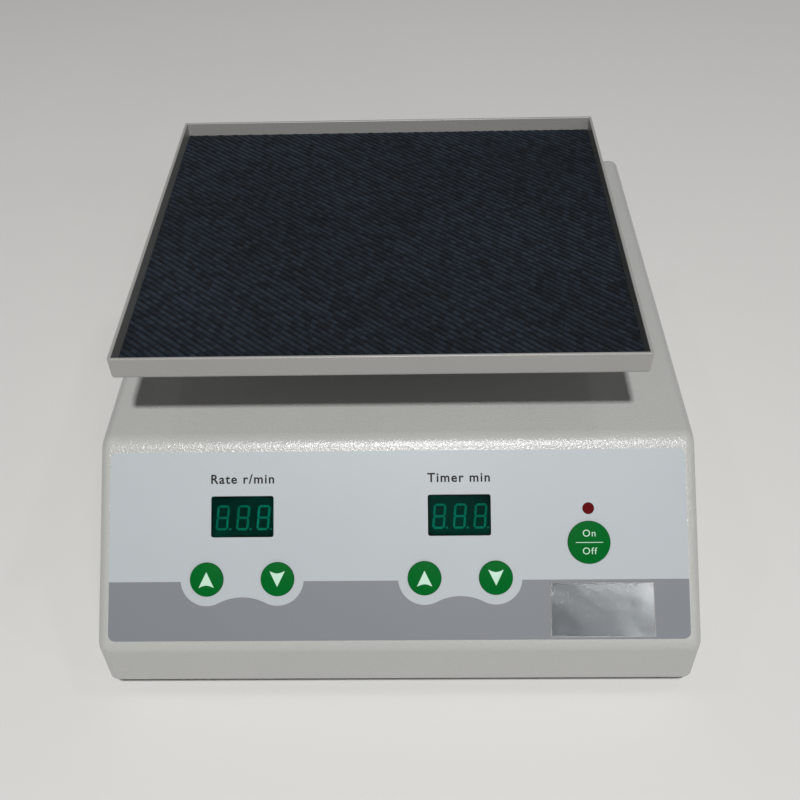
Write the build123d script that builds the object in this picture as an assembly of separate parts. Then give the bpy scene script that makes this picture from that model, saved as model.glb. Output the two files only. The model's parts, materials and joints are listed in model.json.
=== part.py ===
from build123d import *
from math import atan2, cos, hypot, radians, sin, tan
import os

# Rocker shaker: a housing with a sloping keypad, and a tray that rocks front to back above it.
# Millimetres. X to the right, Y to the back, Z up, with the feet's underside at Z 0.

# Housing
housing_width = 220.0
housing_depth = 254.0
housing_height = 70.9
lower_face_height = 20.9
slope_run = 57.0
housing_wall = 2.0
side_edge_radius = 4.0
lower_bend_radius = 6.0
upper_bend_radius = 8.0
back_edge_radius = 5.0
ledge_width = 10.0
ledge_thickness = 2.5

# Fits shared by the whole part
running_gap = 0.05
fixed_gap = 0.05
seat_gap = 0.15
free_gap = 0.3

# How far a cut runs past the faces that it goes through
over = 1.0

# Base plate and feet
base_thickness = 1.5
base_screw_reach = 72.0
foot_height = 8.0
foot_top_radius = 10.0
foot_bottom_radius = 8.5
foot_inset = 24.0
foot_recess_radius = 4.6
foot_recess_depth = 4.0

# Panel film, windows, keys and lamp, along the slope (x, distance up the slope)
film_side_margin = 4.5
film_height = 68.5
film_start = 2.7
film_thickness = 0.4
film_corner_radius = 2.5
window_width = 23.0
window_height = 15.0
window_corner_radius = 0.9
window_rise = 47.5
speed_group_x = -56.6
time_group_x = 22.9
key_spacing = 25.9
key_rise = 24.8
key_radius = 6.05
start_key_radius = 7.65
start_key_x = 69.8
start_key_rise = 37.3
lamp_rise = 49.6
lamp_radius = 2.0
key_travel = 0.3
key_stand_out = 0.6
key_dome = 0.4
key_flange_width = 1.2
key_flange_thickness = 0.8
label_width = 37.8
label_height = 19.6
label_thickness = 0.15
label_corner_radius = 1.0
label_x = 74.2
label_rise = 13.2

# Displays, key switches and control board behind the panel
display_width = 22.5
display_height = 14.0
display_depth = 7.0
display_sink = 0.2
board_thickness = 1.6
board_width = 188.0
board_height = 46.0
board_rise = 36.0
switch_size = 6.0
switch_button_radius = 1.75
switch_button_height = 0.4
spacer_radius = 3.0
spacer_floor = 1.0
spacer_x = 86.0
spacer_reach = 18.0
board_corner_radius = 2.0
lamp_flange = 0.5
lamp_flange_thickness = 1.0

# Components on the control board's back: width, depth, height, and place about the board's middle
chip_size = (15.0, 9.0, 1.6)
chip_place = (-20.0, 0.0)
relay_size = (19.0, 15.0, 15.0)
relay_place = (60.0, -6.0)
buzzer_radius = 6.0
buzzer_height = 8.0
buzzer_place = (30.0, 6.0)
board_cap_radius = 3.2
board_cap_height = 9.0
board_cap_places = ((-64.0, -8.0), (-54.0, -8.0))
header_size = (12.0, 6.0, 7.0)
header_places = ((-40.0, 14.0), (4.0, 14.0))

# Tray, mat and cradle
tray_x = -4.9
tray_front = 57.6
tray_width = 187.5
tray_depth = 165.6
tray_rim_height = 9.0
tray_sheet = 1.2
tray_bend_radius = 1.2
tray_corner_radius = 1.0
tray_rim_radius = 0.4
tray_gap_above_housing = 30.5
mat_thickness = 2.2
mat_gap = 0.2
cradle_sheet = 2.0
cradle_length = 76.0
ear_offset = 50.0
ear_radius = 10.0
ear_root_width = 40.0
stud_radius = 2.0
stud_length = 8.0
stud_x = 38.0
stud_y = 28.0
nut_width = 7.0
nut_height = 3.2

# Shaft, posts and bushings
shaft_radius = 4.0
shaft_rise = 16.0
post_offset = 60.0
post_thickness = 10.0
post_radius = 11.0
post_foot_length = 22.0
post_foot_width = 40.0
post_foot_thickness = 5.0
post_screw_y = 14.0
bushing_wall = 2.0
bushing_flange = 2.0
bushing_flange_thickness = 1.5
ring_thickness = 1.1
ring_width = 2.6
ring_groove_depth = 0.6
collar_wall = 5.0
collar_length = 8.0
shaft_end_length = 2.0
shaft_chamfer = 0.5
ring_opening = 3.0

# Drive lever and crank
lever_thickness = 5.0
lever_hub_radius = 10.0
lever_hub_reach = 3.0
lever_neck_width = 14.0
fork_arm_width = 5.0
crank_throw = 9.1
roller_radius = 8.0
roller_play = 0.8
rock_limit = 9.0
slot_side_gap = 2.0
slot_end_gap = 2.0
crank_gap = 1.3
crank_rim = 5.0
crank_thickness = 6.0
crank_pin_radius = 2.5
pin_head_width = 1.5
pin_head_thickness = 1.0
pin_head_gap = 0.4
roller_side_gap = 0.2
output_shaft_radius = 3.0

# Gear motor, its bracket and screws
gearbox_radius = 18.5
gearbox_length = 22.0
gearbox_offset = 7.0
gearbox_floor_gap = 1.0
gearbox_boss_radius = 6.0
gearbox_boss_length = 5.0
gearbox_screw_circle = 31.0
motor_radius = 16.5
motor_length = 30.0
motor_end_radius = 2.0
motor_boss_radius = 5.0
motor_boss_length = 2.5
gearbox_screw_angles = (30, 150, 210, 330)
bracket_sheet = 2.0
bracket_width = 52.0
bracket_top_margin = 2.0
bracket_foot_length = 34.0
bracket_screw_x = 24.0
bracket_screw_y = 21.0

# Power supply board
supply_side_gap = 3.0
supply_back_gap = 54.0
supply_width = 50.0
supply_length = 95.0
supply_spacer_height = 8.0
supply_spacer_inset = 4.5

# Components on the supply board: width, depth, height, and place about the board's middle
transformer_size = (28.0, 26.0, 22.0)
big_cap_radius = 9.0
big_cap_height = 26.0
big_cap_y = 28.0
small_cap_radius = 4.0
small_cap_height = 14.0
small_cap_places = ((-6.0, -22.0), (5.0, -22.0))
heat_sink_size = (2.0, 40.0, 24.0)
heat_sink_x = 19.0
terminal_size = (20.0, 8.0, 10.0)
terminal_y = 41.0

# Mains inlet and power switch in the back wall
inlet_from_side = 44.0
inlet_rise = 36.0
inlet_body_width = 27.0
inlet_body_height = 19.5
inlet_body_depth = 24.0
inlet_socket_width = 24.2
inlet_socket_height = 16.4
inlet_socket_depth = 16.5
inlet_flange_width = 50.0
inlet_flange_height = 23.0
inlet_flange_thickness = 3.0
inlet_screw_spacing = 40.0
inlet_corner_radius = 3.0
socket_chamfer = 4.0
pin_spacing = 7.0
pin_thickness = 2.0
pin_height = 4.0
pin_length = 15.0
switch_from_inlet = 44.0
power_switch_width = 15.0
power_switch_height = 21.0
power_switch_bezel = 2.0
power_switch_body_width = 13.0
power_switch_body_height = 19.0
power_switch_body_depth = 15.0
bezel_corner_radius = 1.5
rocker_hole_gap = 2.0
rocker_width = 9.4
rocker_length = 14.0
rocker_rise = 3.6
rocker_dip = 1.4
rocker_depth = 4.0
rocker_edge_depth = 1.0
rocker_edge_taper = 0.8
rocker_foot_half = 1.2
rocker_tilt = 10.0
rocker_pivot_out = 0.8
rocker_pin_radius = 1.0
rocker_pin_length = 1.1
rocker_gap = 0.3
vent_from_side = 62.0
vent_count = 9
vent_pitch = 7.0
vent_width = 2.4
vent_height = 26.0

# Screws: shank radius, head radius, head height
m3_radius = 1.5
m3_head_radius = 2.8
m3_head_height = 1.9
m4_radius = 2.0
m4_head_radius = 3.6
m4_head_height = 2.6
screw_hole_gap = 0.2
thread_reach = 3.0
screw_tip = 1.0
face_screw_reach = 4.0
face_hole_depth = 5.0

# Places worked out from the sizes above
slope_angle = atan2(housing_height - lower_face_height, slope_run)
film_width = housing_width - 2 * film_side_margin
rear_reach = (rocker_pivot_out + rocker_rise * cos(radians(rocker_tilt))
              + rocker_length / 2 * sin(radians(rocker_tilt)))
front_y = -(housing_depth + rear_reach) / 2
back_y = front_y + housing_depth
base_z = foot_height
bend_z = base_z + lower_face_height
top_z = base_z + housing_height
inner_top_z = top_z - housing_wall
base_top_z = base_z + base_thickness
ledge_top_z = base_top_z + ledge_thickness
tray_center_y = front_y + tray_front + tray_depth / 2
tray_floor_z = top_z + tray_gap_above_housing
tray_rim_z = tray_floor_z + tray_rim_height
tray_inside_z = tray_floor_z + tray_sheet
mat_top_z = tray_inside_z + mat_thickness
shaft_z = top_z + shaft_rise
gearbox_z = base_top_z + bracket_sheet + gearbox_floor_gap + gearbox_radius
crank_z = gearbox_z + gearbox_offset
crank_drop = shaft_z - crank_z
cradle_under_z = tray_floor_z - cradle_sheet
panel = Plane(origin=(0, front_y, bend_z), x_dir=(1, 0, 0),
              z_dir=(0, -sin(slope_angle), cos(slope_angle)))
wall_back = -housing_wall
display_face = -display_sink
board_face = display_face - display_depth
board_back = board_face - board_thickness
key_flange_top = wall_back - seat_gap
key_flange_bottom = key_flange_top - key_flange_thickness
switch_button_top = key_flange_bottom - key_travel - running_gap
switch_body_top = switch_button_top - switch_button_height

parts = {}


def block(x0, x1, y0, y1, z0, z1):
    """A box between two corners."""
    return Pos((x0 + x1) / 2, (y0 + y1) / 2, (z0 + z1) / 2) * Box(x1 - x0, y1 - y0, z1 - z0)


def centred_block(x, y, width, depth, z0, z1):
    """A box of this width and depth about x, y."""
    return block(x - width / 2, x + width / 2, y - depth / 2, y + depth / 2, z0, z1)


def z_rod(radius, x, y, z0, z1):
    """A cylinder along Z."""
    return Pos(x, y, (z0 + z1) / 2) * Cylinder(radius, z1 - z0)


def x_rod(radius, x0, x1, y, z):
    """A cylinder along X."""
    return Pos((x0 + x1) / 2, y, z) * Rot(0, 90, 0) * Cylinder(radius, x1 - x0)


def y_rod(radius, y0, y1, x, z):
    """A cylinder along Y."""
    return Pos(x, (y0 + y1) / 2, z) * Rot(90, 0, 0) * Cylinder(radius, y1 - y0)


def x_tube(outer, inner, x0, x1, y, z):
    """A tube along X."""
    return x_rod(outer, x0, x1, y, z) - x_rod(inner, x0 - over, x1 + over, y, z)


def rounded_plate(width, depth, radius, z0, z1):
    """A plate about the origin with rounded corners."""
    return Pos(0, 0, z0) * extrude(RectangleRounded(width, depth, radius), z1 - z0)


def pan_screw(radius, head_radius, head_height, length):
    """A pan head screw with a cross recess: head above Z 0, shank below."""
    head = z_rod(head_radius, 0, 0, 0, head_height)
    head = fillet(head.edges().sort_by(Axis.Z)[-1], head_height * 0.45)
    recess = head_height * 0.55
    arm = head_radius * 0.62
    for angle in (0, 90):
        head -= Rot(0, 0, angle) * centred_block(0, 0, 2 * arm, arm * 0.35, head_height - recess,
                                                 head_height + over)
    return head + z_rod(radius, 0, 0, -length, 0)


def hex_nut(radius, width, height):
    """A nut above Z 0."""
    body = extrude(RegularPolygon(width / 2, 6, major_radius=False), height)
    return body - z_rod(radius, 0, 0, -over, height + over)


def on_panel(shape, x, rise):
    """Puts a shape on the sloping panel: its Z 0 is the housing's outer face there."""
    return panel.location * Pos(x, rise, 0) * shape


def add(name, solids):
    """Keeps one solid, or a list of separate solids, under a node's name."""
    parts[name] = Compound(children=list(solids)) if isinstance(solids, (list, tuple)) else solids


# Where things repeat
foot_places = [(sx * (housing_width / 2 - foot_inset), y)
               for sx in (-1, 1) for y in (front_y + foot_inset, back_y - foot_inset)]
key_places = {
    "speed_up_key": (speed_group_x - key_spacing / 2, key_rise, key_radius),
    "speed_down_key": (speed_group_x + key_spacing / 2, key_rise, key_radius),
    "time_up_key": (time_group_x - key_spacing / 2, key_rise, key_radius),
    "time_down_key": (time_group_x + key_spacing / 2, key_rise, key_radius),
    "start_stop_key": (start_key_x, start_key_rise, start_key_radius),
}
window_places = {"speed": speed_group_x, "time": time_group_x}
spacer_places = [(sx * spacer_x, board_rise + sy * spacer_reach) for sx in (-1, 1) for sy in (-1, 1)]
ledge_line_x = housing_width / 2 - housing_wall - ledge_width / 2
middle_y = (front_y + back_y) / 2
base_screw_places = [(sx * ledge_line_x, middle_y + sy * base_screw_reach)
                     for sx in (-1, 1) for sy in (-1, 0, 1)]
post_foot_x = post_offset + post_thickness / 2 + (post_foot_length - post_thickness) / 2
post_screw_places = [(tray_x + sx * post_foot_x, tray_center_y + sy * post_screw_y)
                     for sx in (-1, 1) for sy in (-1, 1)]
stud_places = [(tray_x + sx * stud_x, tray_center_y + sy * stud_y)
               for sx in (-1, 1) for sy in (-1, 1)]
inlet_x = housing_width / 2 - inlet_from_side
power_switch_x = inlet_x - switch_from_inlet
vent_x = vent_from_side - housing_width / 2
inlet_z = base_z + inlet_rise
inlet_screw_places = [inlet_x + sx * inlet_screw_spacing / 2 for sx in (-1, 1)]

# The motor group, along X from the lever's plane
lever_half = lever_thickness / 2
crank_x0 = tray_x + lever_half + crank_gap
crank_x1 = crank_x0 + crank_thickness
boss_end_x = crank_x1 + crank_gap
gearbox_x0 = boss_end_x + gearbox_boss_length
gearbox_x1 = gearbox_x0 + gearbox_length
bracket_x0 = gearbox_x0 - bracket_sheet
bracket_screw_places = [(gearbox_x0 + bracket_screw_x, tray_center_y + sy * bracket_screw_y)
                        for sy in (-1, 1)]
supply_x = -(housing_width / 2 - housing_wall - ledge_width - supply_side_gap - supply_width / 2)
supply_y = back_y - supply_back_gap - supply_length / 2
supply_places = [(supply_x + sx * (supply_width / 2 - supply_spacer_inset),
                  supply_y + sy * (supply_length / 2 - supply_spacer_inset))
                 for sx in (-1, 1) for sy in (-1, 1)]
supply_board_z = base_top_z + supply_spacer_height
supply_board_top = supply_board_z + board_thickness

# Slot for the lever in the housing's top
lever_swing = shaft_rise * tan(radians(rock_limit)) + lever_neck_width / 2 / cos(radians(rock_limit))
slot_half_length = lever_swing + slot_end_gap
slot_half_width = lever_half + slot_side_gap


# Housing
def housing_form(inset, floor_z):
    """The housing's outer form moved inwards by inset, standing on floor_z."""
    low_z = bend_z - inset * cos(slope_angle) + inset * (1 - sin(slope_angle)) * tan(slope_angle)
    high_z = top_z - inset
    high_y = (front_y + inset * sin(slope_angle)
              + (high_z - bend_z + inset * cos(slope_angle)) / tan(slope_angle))
    front = front_y + inset
    back = back_y - inset
    half = housing_width / 2 - inset
    with BuildPart() as form:
        with BuildSketch(Plane.YZ):
            with BuildLine():
                FilletPolyline((front, floor_z), (front, low_z), (high_y, high_z), (back, high_z),
                               (back, floor_z), radius=[lower_bend_radius - inset,
                                                        upper_bend_radius - inset,
                                                        back_edge_radius - inset])
                Line((back, floor_z), (front, floor_z))
            make_face()
        extrude(amount=half, both=True)
        rim = [e for e in form.edges()
               if abs(abs(e.center().X) - half) < 0.01 and e.center().Z > floor_z + 0.01]
        fillet(rim, side_edge_radius - inset)
    return form.part


def housing_shell():
    shell = housing_form(0, base_z) - housing_form(housing_wall, ledge_top_z)
    plate_width = housing_width - 2 * housing_wall
    plate_depth = housing_depth - 2 * housing_wall
    corner = side_edge_radius - housing_wall
    shell -= Pos(0, middle_y, 0) * rounded_plate(plate_width, plate_depth, corner,
                                                 base_z - over, base_top_z)
    shell -= centred_block(0, middle_y, plate_width - 2 * ledge_width, plate_depth - 2 * ledge_width,
                           base_z, ledge_top_z + over)
    through = housing_wall * 2
    for x in window_places.values():
        cut = rounded_plate(window_width, window_height, window_corner_radius, -through, over)
        shell -= on_panel(cut, x, window_rise)
    for x, rise, radius in key_places.values():
        shell -= on_panel(z_rod(radius + seat_gap, 0, 0, -through, over), x, rise)
    shell -= on_panel(z_rod(lamp_radius + seat_gap, 0, 0, -through, over), start_key_x, lamp_rise)
    slot = extrude(SlotOverall(2 * slot_half_length, 2 * slot_half_width), through, both=True)
    shell -= Pos(tray_x, tray_center_y, top_z) * Rot(0, 0, 90) * slot
    for x, y in post_screw_places:
        shell -= z_rod(m4_radius + screw_hole_gap, x, y, inner_top_z - over, top_z + over)
    for x, y in base_screw_places:
        shell -= z_rod(m3_radius + fixed_gap, x, y, base_z, ledge_top_z + over)
    back_cut = (back_y - through, back_y + over)
    shell -= block(inlet_x - inlet_body_width / 2 - seat_gap, inlet_x + inlet_body_width / 2 + seat_gap,
                   *back_cut, inlet_z - inlet_body_height / 2 - seat_gap,
                   inlet_z + inlet_body_height / 2 + seat_gap)
    shell -= block(power_switch_x - power_switch_body_width / 2 - seat_gap,
                   power_switch_x + power_switch_body_width / 2 + seat_gap, *back_cut,
                   inlet_z - power_switch_body_height / 2 - seat_gap,
                   inlet_z + power_switch_body_height / 2 + seat_gap)
    for x in inlet_screw_places:
        shell -= y_rod(m3_radius + fixed_gap, *back_cut, x, inlet_z)
    for i in range(vent_count):
        x = vent_x + (i - (vent_count - 1) / 2) * vent_pitch
        vent = extrude(SlotOverall(vent_height, vent_width), through, both=True)
        shell -= Pos(x, back_y, inlet_z) * Rot(90, 0, 0) * Rot(0, 0, 90) * vent
    return shell


add("housing_shell", housing_shell())


# Base plate, feet and their fasteners
def base_plate():
    corner = side_edge_radius - housing_wall - seat_gap
    plate = rounded_plate(housing_width - 2 * (housing_wall + seat_gap),
                          housing_depth - 2 * (housing_wall + seat_gap), corner, base_z, base_top_z)
    plate = Pos(0, middle_y, 0) * plate
    for x, y in base_screw_places:
        plate -= z_rod(m3_radius + screw_hole_gap, x, y, 0, base_top_z + over)
    for x, y in foot_places + bracket_screw_places:
        plate -= z_rod(m4_radius + screw_hole_gap, x, y, 0, base_top_z + over)
    for x, y in supply_places:
        plate -= z_rod(m3_radius + screw_hole_gap, x, y, 0, base_top_z + over)
    return plate


def rubber_foot(x, y):
    profile = Polyline((m4_radius + screw_hole_gap, foot_recess_depth),
                       (foot_recess_radius, foot_recess_depth), (foot_recess_radius, 0),
                       (foot_bottom_radius, 0), (foot_top_radius, foot_height),
                       (m4_radius + screw_hole_gap, foot_height), close=True)
    return Pos(x, y, 0) * revolve(make_face(Plane.XZ * profile), Axis.Z)


add("base_plate", base_plate())
for (x, y), place in zip(foot_places, ("front_left", "rear_left", "front_right", "rear_right")):
    add(f"foot_{place}", rubber_foot(x, y))

upside_down = Rot(180, 0, 0)
base_screw = pan_screw(m3_radius, m3_head_radius, m3_head_height,
                       base_thickness + ledge_thickness + thread_reach)
add("base_screws", [Pos(x, y, base_z) * upside_down * base_screw for x, y in base_screw_places])
foot_screw_length = foot_height - foot_recess_depth + base_thickness + nut_height + screw_tip
foot_screw = pan_screw(m4_radius, m4_head_radius, m4_head_height, foot_screw_length)
add("foot_screws", [Pos(x, y, foot_recess_depth) * upside_down * foot_screw for x, y in foot_places])
m4_nut = hex_nut(m4_radius + fixed_gap, nut_width, nut_height)


# Panel film, windows, label, keys and lamp
def panel_film():
    film = Pos(0, film_start + film_height / 2, 0) * rounded_plate(film_width, film_height,
                                                                   film_corner_radius,
                                                                   0, film_thickness)
    for x in window_places.values():
        film -= Pos(x, window_rise, 0) * rounded_plate(window_width, window_height,
                                                       window_corner_radius, -over, over)
    for x, rise, radius in key_places.values():
        film -= z_rod(radius + seat_gap, x, rise, -over, over)
    film -= z_rod(lamp_radius + seat_gap, start_key_x, lamp_rise, -over, over)
    return panel.location * film


def window_pane(x):
    pane = rounded_plate(window_width - 2 * fixed_gap, window_height - 2 * fixed_gap,
                         window_corner_radius - fixed_gap, 0, film_thickness)
    return on_panel(pane, x, window_rise)


def key_cap(x, rise, radius):
    """A low domed cap with a flange that keeps it under the housing's wall."""
    top = film_thickness + key_stand_out + key_dome
    dome_radius = (radius ** 2 + key_dome ** 2) / (2 * key_dome)
    cap = z_rod(radius, 0, 0, key_flange_bottom, top) & Pos(0, 0, top - dome_radius) * Sphere(dome_radius)
    cap += z_rod(radius + key_flange_width, 0, 0, key_flange_bottom, key_flange_top)
    return on_panel(cap, x, rise)


def display_module(x):
    body = centred_block(0, 0, display_width, display_height, board_face, display_face)
    return on_panel(body, x, window_rise)


def run_lamp():
    lens = z_rod(lamp_radius, 0, 0, board_face, film_thickness)
    lens += z_rod(lamp_radius + lamp_flange, 0, 0, board_face, board_face + lamp_flange_thickness)
    return on_panel(lens, start_key_x, lamp_rise)


add("panel_film", panel_film())
for name, x in window_places.items():
    add(f"{name}_window", window_pane(x))
    add(f"{name}_display", display_module(x))
for name, (x, rise, radius) in key_places.items():
    add(name, key_cap(x, rise, radius))
add("run_lamp", run_lamp())
label = rounded_plate(label_width, label_height, label_corner_radius, film_thickness,
                      film_thickness + label_thickness)
add("clear_label", on_panel(label, label_x, label_rise))


# Control board behind the panel
def control_board():
    board = Pos(0, board_rise, 0) * rounded_plate(board_width, board_height, board_corner_radius, board_back,
                                               board_face)
    for x, rise in spacer_places:
        board -= z_rod(m3_radius + screw_hole_gap, x, rise, board_back - over, board_face + over)
    return panel.location * board


def spacer(x, rise):
    bore = z_rod(m3_radius + fixed_gap, x, rise, board_face - over, wall_back - spacer_floor)
    return panel.location * (z_rod(spacer_radius, x, rise, board_face, wall_back) - bore)


def key_switch(x, rise):
    body = centred_block(0, 0, switch_size, switch_size, board_face, switch_body_top)
    body += z_rod(switch_button_radius, 0, 0, switch_body_top, switch_button_top)
    return on_panel(body, x, rise)


def board_components():
    """Chip, relay, buzzer, capacitors and two plug headers on the board's back."""
    blocks = [(chip_size, chip_place), (relay_size, relay_place)]
    blocks += [(header_size, place) for place in header_places]
    cans = [(buzzer_radius, buzzer_height, buzzer_place)]
    cans += [(board_cap_radius, board_cap_height, place) for place in board_cap_places]
    shapes = [centred_block(x, board_rise + y, width, depth, board_back - height, board_back)
              for (width, depth, height), (x, y) in blocks]
    shapes += [z_rod(radius, x, board_rise + y, board_back - height, board_back)
               for radius, height, (x, y) in cans]
    return [panel.location * shape for shape in shapes]


add("control_board", control_board())
add("board_spacers", [spacer(x, rise) for x, rise in spacer_places])
short_screw = pan_screw(m3_radius, m3_head_radius, m3_head_height, board_thickness + thread_reach)
add("board_screws", [on_panel(Pos(0, 0, board_back) * upside_down * short_screw, x, rise)
                     for x, rise in spacer_places]
    + [Pos(x, y, supply_board_top) * short_screw for x, y in supply_places]
    + [Pos(x, y, base_z) * upside_down * short_screw for x, y in supply_places])
add("key_switches", [key_switch(x, rise) for x, rise, radius in key_places.values()])
add("board_components", board_components())


# Tray, mat and cradle, rocking about the shaft
def tray():
    body = centred_block(tray_x, tray_center_y, tray_width, tray_depth, tray_floor_z, tray_rim_z)
    body = fillet(body.edges().filter_by(Axis.Z), tray_corner_radius)
    under = body.edges().filter_by(lambda e: abs(e.center().Z - tray_floor_z) < 0.01)
    body = fillet(under, tray_bend_radius)
    body -= centred_block(tray_x, tray_center_y, tray_width - 2 * tray_sheet,
                          tray_depth - 2 * tray_sheet, tray_inside_z, tray_rim_z + over)
    rim = body.edges().filter_by(lambda e: abs(e.center().Z - tray_rim_z) < 0.01)
    return fillet(rim, tray_rim_radius)


def mat():
    inset = 2 * (tray_sheet + mat_gap)
    return centred_block(tray_x, tray_center_y, tray_width - inset, tray_depth - inset,
                         tray_inside_z, mat_top_z)


def ear_outline():
    """The cradle's ear seen from the side: a taper from the web down to a round end."""
    rise = tray_floor_z - shaft_z
    half = ear_root_width / 2
    taper = Polyline((-half, rise), (half, rise), (ear_radius, 0), (-ear_radius, 0), close=True)
    return make_face(taper) + Circle(ear_radius)


def tray_cradle():
    """Folded sheet under the tray: a flat web with an ear at each end."""
    half = ear_offset + cradle_sheet / 2
    body = centred_block(tray_x, tray_center_y, 2 * half, cradle_length, cradle_under_z, tray_floor_z)
    for sx in (-1, 1):
        plane = Plane(origin=(tray_x + sx * ear_offset, tray_center_y, shaft_z), x_dir=(0, 1, 0),
                      z_dir=(1, 0, 0))
        body += extrude(plane * ear_outline(), cradle_sheet / 2, both=True)
    body -= x_rod(shaft_radius + fixed_gap, tray_x - half - over, tray_x + half + over,
                  tray_center_y, shaft_z)
    for x, y in stud_places:
        body -= z_rod(stud_radius + screw_hole_gap, x, y, cradle_under_z - over, tray_floor_z + over)
    return body


ring_x = post_offset + post_thickness / 2 + free_gap
shaft_half = ring_x + ring_thickness + shaft_end_length


def rocking_shaft():
    shaft = x_rod(shaft_radius, tray_x - shaft_half, tray_x + shaft_half, tray_center_y, shaft_z)
    ends = [e for e in shaft.edges() if abs(abs(e.center().X - tray_x) - shaft_half) < 0.01]
    shaft = chamfer(ends, shaft_chamfer)
    for sx in (-1, 1):
        a = tray_x + sx * (ring_x - fixed_gap)
        b = tray_x + sx * (ring_x + ring_thickness + fixed_gap)
        shaft -= x_tube(shaft_radius + over, shaft_radius - ring_groove_depth, min(a, b), max(a, b),
                        tray_center_y, shaft_z)
    return shaft


def retaining_ring(sx):
    """A spring ring in the shaft's groove, open at one side."""
    a = tray_x + sx * ring_x
    b = a + sx * ring_thickness
    inner = shaft_radius - ring_groove_depth + fixed_gap
    ring = x_tube(inner + ring_width, inner, min(a, b), max(a, b), tray_center_y, shaft_z)
    return ring - block(min(a, b) - over, max(a, b) + over, tray_center_y - ring_opening / 2,
                        tray_center_y + ring_opening / 2, shaft_z, shaft_z + inner + ring_width + over)


def shaft_collar(sx):
    """A collar on the shaft against the inner face of the ear."""
    a = tray_x + sx * (ear_offset - cradle_sheet / 2 - collar_length)
    b = tray_x + sx * (ear_offset - cradle_sheet / 2)
    collar = x_tube(shaft_radius + collar_wall, shaft_radius + fixed_gap, min(a, b), max(a, b),
                    tray_center_y, shaft_z)
    return collar - y_rod(m3_radius + fixed_gap, tray_center_y - shaft_radius - collar_wall - over,
                          tray_center_y, (a + b) / 2, shaft_z)


def set_screw(x, z, start, end):
    """A set screw along Y between two distances in front of an axis."""
    return y_rod(m3_radius, tray_center_y - end, tray_center_y - start, x, z)


def drive_lever():
    """Hub on the shaft, a neck through the top's slot and a fork round the crank's roller."""
    slot_half = roller_radius + roller_play
    fork_half = slot_half + fork_arm_width
    slot_top = crank_drop - crank_throw - slot_half
    tip = crank_drop + crank_throw + roller_radius / 2
    with BuildPart() as lever:
        with BuildSketch(Plane(origin=(tray_x, tray_center_y, shaft_z), x_dir=(0, 1, 0),
                               z_dir=(1, 0, 0))):
            Circle(lever_hub_radius)
            with Locations((0, -slot_top / 2)):
                Rectangle(lever_neck_width, slot_top)
            with Locations((0, -slot_top)):
                Circle(fork_half)
            with Locations((0, -(slot_top + tip) / 2)):
                Rectangle(2 * fork_half, tip - slot_top)
            with Locations((0, -(slot_top + slot_half + tip + over) / 2)):
                Rectangle(2 * slot_half, tip + over - slot_top - slot_half, mode=Mode.SUBTRACT)
            with Locations((0, -slot_top - slot_half)):
                Circle(slot_half, mode=Mode.SUBTRACT)
        extrude(amount=lever_half, both=True)
    body = lever.part
    hub_reach = lever_half + lever_hub_reach
    body += x_rod(lever_hub_radius, tray_x - hub_reach, tray_x + hub_reach, tray_center_y, shaft_z)
    body -= x_rod(shaft_radius + fixed_gap, tray_x - hub_reach - over, tray_x + hub_reach + over,
                  tray_center_y, shaft_z)
    return body - y_rod(m3_radius + fixed_gap, tray_center_y - lever_hub_radius - over, tray_center_y,
                        tray_x, shaft_z)


add("tray", tray())
add("mat", mat())
add("tray_cradle", tray_cradle())
add("tray_studs", [z_rod(stud_radius, x, y, tray_floor_z - stud_length, tray_floor_z)
                   for x, y in stud_places])
stud_nut = hex_nut(stud_radius + fixed_gap, nut_width, nut_height)
add("stud_nuts", [Pos(x, y, cradle_under_z - nut_height) * stud_nut for x, y in stud_places])
add("rocking_shaft", rocking_shaft())
add("retaining_rings", [retaining_ring(sx) for sx in (-1, 1)])
add("shaft_collars", [shaft_collar(sx) for sx in (-1, 1)])
collar_middle = ear_offset - cradle_sheet / 2 - collar_length / 2
add("drive_lever", drive_lever())
screw_start = shaft_radius + fixed_gap
add("shaft_set_screws", [set_screw(tray_x + sx * collar_middle, shaft_z, screw_start,
                                   shaft_radius + collar_wall) for sx in (-1, 1)]
    + [set_screw(tray_x, shaft_z, screw_start, lever_hub_radius)])


# Bearing posts, bushings and fasteners on the housing's top
bushing_outer = shaft_radius + running_gap + bushing_wall


def bearing_post(sx):
    """A rounded upright with a foot outside it, bored for the bushing."""
    a = tray_x + sx * (post_offset - post_thickness / 2)
    b = tray_x + sx * (post_offset + post_thickness / 2)
    far = tray_x + sx * (post_offset - post_thickness / 2 + post_foot_length)
    post = block(min(a, b), max(a, b), tray_center_y - post_radius, tray_center_y + post_radius,
                 top_z, shaft_z)
    post += x_rod(post_radius, min(a, b), max(a, b), tray_center_y, shaft_z)
    post += block(min(a, far), max(a, far), tray_center_y - post_foot_width / 2,
                  tray_center_y + post_foot_width / 2, top_z, top_z + post_foot_thickness)
    post -= x_rod(bushing_outer + fixed_gap, min(a, b) - over, max(a, b) + over, tray_center_y, shaft_z)
    for x, y in post_screw_places:
        post -= z_rod(m4_radius + screw_hole_gap, x, y, top_z - over, top_z + post_foot_thickness + over)
    return post


def bushing(sx):
    """A flanged sleeve, its flange towards the cradle."""
    face = post_offset - post_thickness / 2
    a = tray_x + sx * face
    b = tray_x + sx * (face + post_thickness)
    c = tray_x + sx * (face - bushing_flange_thickness)
    sleeve = x_rod(bushing_outer, min(a, b), max(a, b), tray_center_y, shaft_z)
    sleeve += x_rod(bushing_outer + bushing_flange, min(a, c), max(a, c), tray_center_y, shaft_z)
    return sleeve - x_rod(shaft_radius + running_gap, min(a, b, c) - over, max(a, b, c) + over,
                          tray_center_y, shaft_z)


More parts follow.
